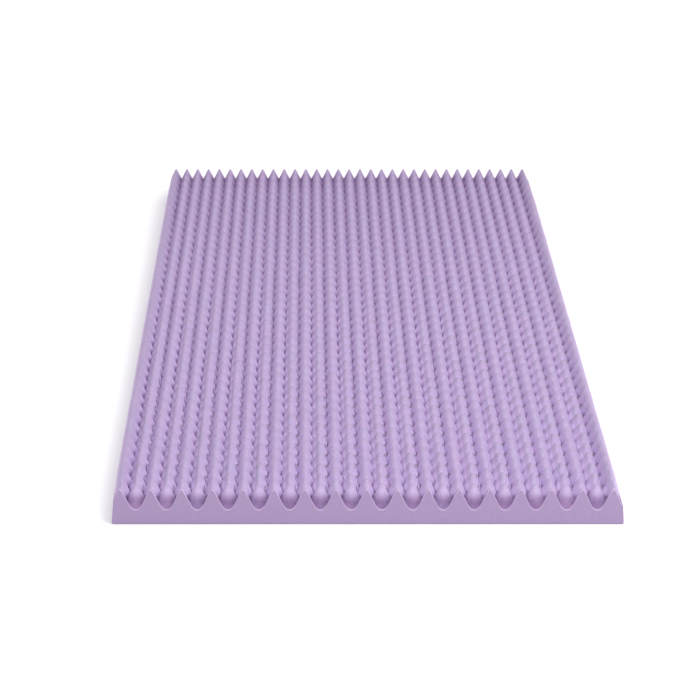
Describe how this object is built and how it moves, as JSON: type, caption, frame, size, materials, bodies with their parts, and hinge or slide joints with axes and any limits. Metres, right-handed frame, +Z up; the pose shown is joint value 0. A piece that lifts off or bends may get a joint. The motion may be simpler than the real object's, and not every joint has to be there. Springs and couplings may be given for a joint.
{
  "type": "mattress topper",
  "caption": "Twin-size slab of convoluted foam with straight columns of pointed bumps on its upper side and a flat underside.",
  "frame": {"origin": "middle of the underside, on the surface that the topper lies on", "axes": "+Y along the length, away from the front cut; +Z up, out of the bumps; +X across the width"},
  "size_m": [0.991, 1.905, 0.078],
  "materials": {
    "foam": "matt open-cell polyurethane foam, lavender all through"
  },
  "bodies": {
    "root": {"foam_slab": "foam"}
  },
  "joints": []
}
